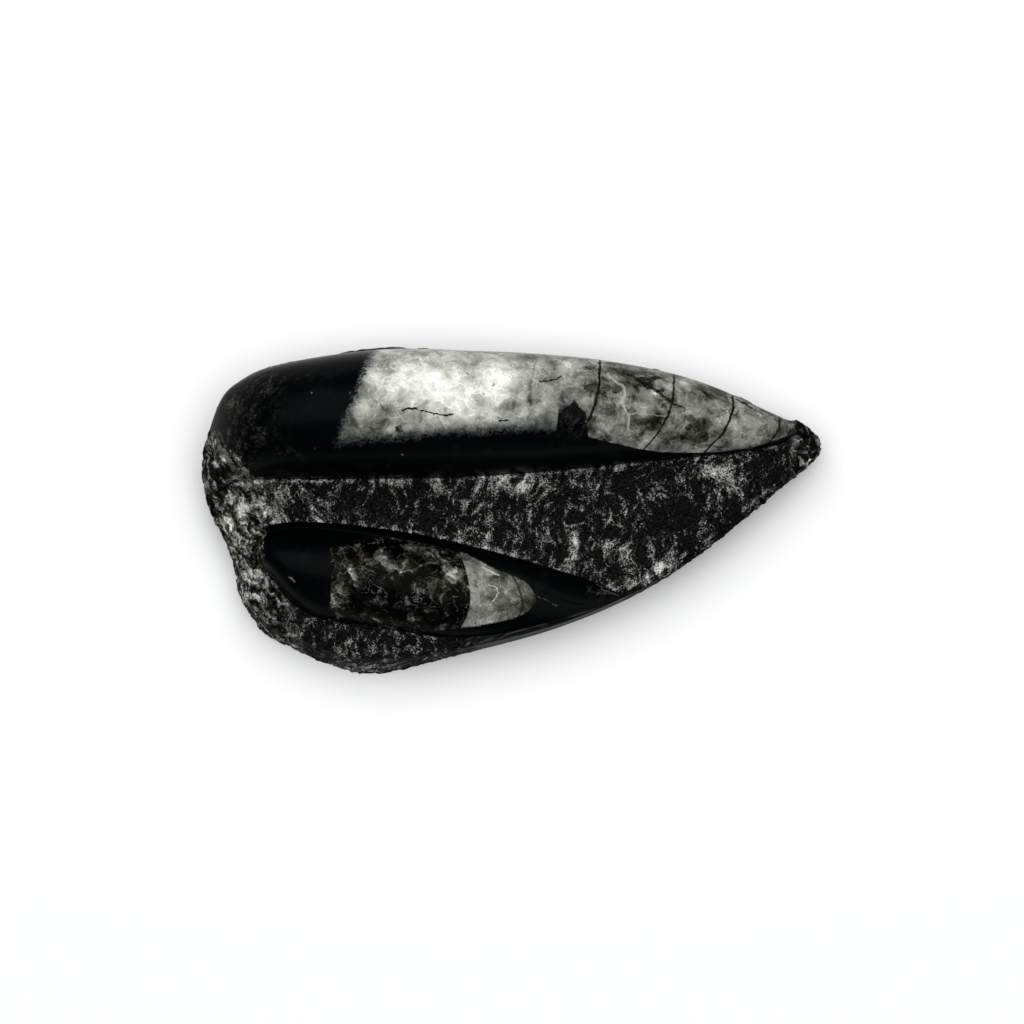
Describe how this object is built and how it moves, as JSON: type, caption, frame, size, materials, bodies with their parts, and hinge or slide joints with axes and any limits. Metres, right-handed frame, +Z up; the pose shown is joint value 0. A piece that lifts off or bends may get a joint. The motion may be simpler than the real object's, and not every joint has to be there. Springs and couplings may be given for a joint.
{
  "type": "orthoceras fossil",
  "caption": "Polished freeform block of black limestone with a large cone shell in high relief, a small spindle shell in a groove, a chiselled matrix floor and a flat sawn underside.",
  "frame": {"origin": "centre of the footprint, on the sawn underside", "axes": "+X along the stone from its blunt broken end to its pointed end, +Z up from the sawn underside"},
  "size_m": [0.15, 0.08, 0.035],
  "materials": {
    "fossil_limestone": "polished black limestone with white to grey calcite shells; chiselled and broken matrix is rough and speckled"
  },
  "bodies": {
    "root": {"fossil_stone": "fossil_limestone"}
  },
  "joints": []
}
